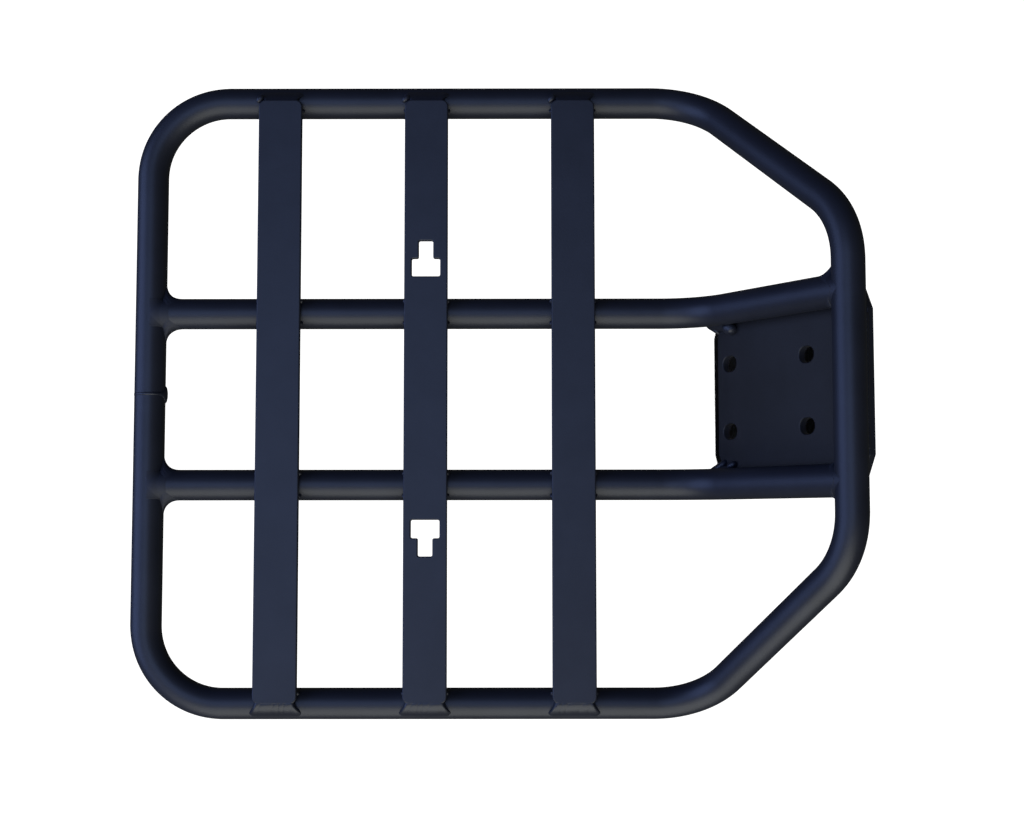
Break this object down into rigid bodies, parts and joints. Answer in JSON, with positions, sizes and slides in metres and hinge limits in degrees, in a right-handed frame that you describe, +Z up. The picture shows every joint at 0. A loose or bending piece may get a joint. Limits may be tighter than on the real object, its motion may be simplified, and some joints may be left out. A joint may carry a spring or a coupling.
{
  "type": "head-tube luggage carrier",
  "caption": "Welded round-tube luggage carrier with flat cross slats, a raised rear frame and an inclined bolt-on mounting plate.",
  "frame": {"origin": "centre of the middle slat's top face, on the load deck", "axes": "+Z up out of the load deck, +X from the free front tube to the mounting plate, Y across the carrier"},
  "size_m": [0.4142, 0.372, 0.1151],
  "materials": {
    "tube_coat": "satin powder coat",
    "slat_coat": "satin powder coat",
    "plate_coat": "satin powder coat",
    "weld_coat": "satin powder coat over weld bead"
  },
  "bodies": {
    "root": {"outer_ring": "tube_coat", "rail_left": "tube_coat", "rail_right": "tube_coat", "slat_front": "slat_coat", "slat_middle": "slat_coat", "slat_rear": "slat_coat", "mount_plate": "plate_coat", "ring_butt_weld": "weld_coat", "rail_front_weld_left": "weld_coat", "rail_rear_weld_left": "weld_coat", "rail_front_weld_right": "weld_coat", "rail_rear_weld_right": "weld_coat", "slat_front_end_weld_left": "weld_coat", "slat_front_tube_weld_left": "weld_coat", "slat_front_rail_weld_left": "weld_coat", "slat_front_end_weld_right": "weld_coat", "slat_front_tube_weld_right": "weld_coat", "slat_front_rail_weld_right": "weld_coat", "slat_middle_end_weld_left": "weld_coat", "slat_middle_tube_weld_left": "weld_coat", "slat_middle_rail_weld_left": "weld_coat", "slat_middle_end_weld_right": "weld_coat", "slat_middle_tube_weld_right": "weld_coat", "slat_middle_rail_weld_right": "weld_coat", "slat_rear_end_weld_left": "weld_coat", "slat_rear_tube_weld_left": "weld_coat", "slat_rear_rail_weld_left": "weld_coat", "slat_rear_end_weld_right": "weld_coat", "slat_rear_tube_weld_right": "weld_coat", "slat_rear_rail_weld_right": "weld_coat", "plate_corner_weld_left": "weld_coat", "plate_side_weld_left": "weld_coat", "plate_corner_weld_right": "weld_coat", "plate_side_weld_right": "weld_coat", "plate_top_weld": "weld_coat"}
  },
  "joints": []
}
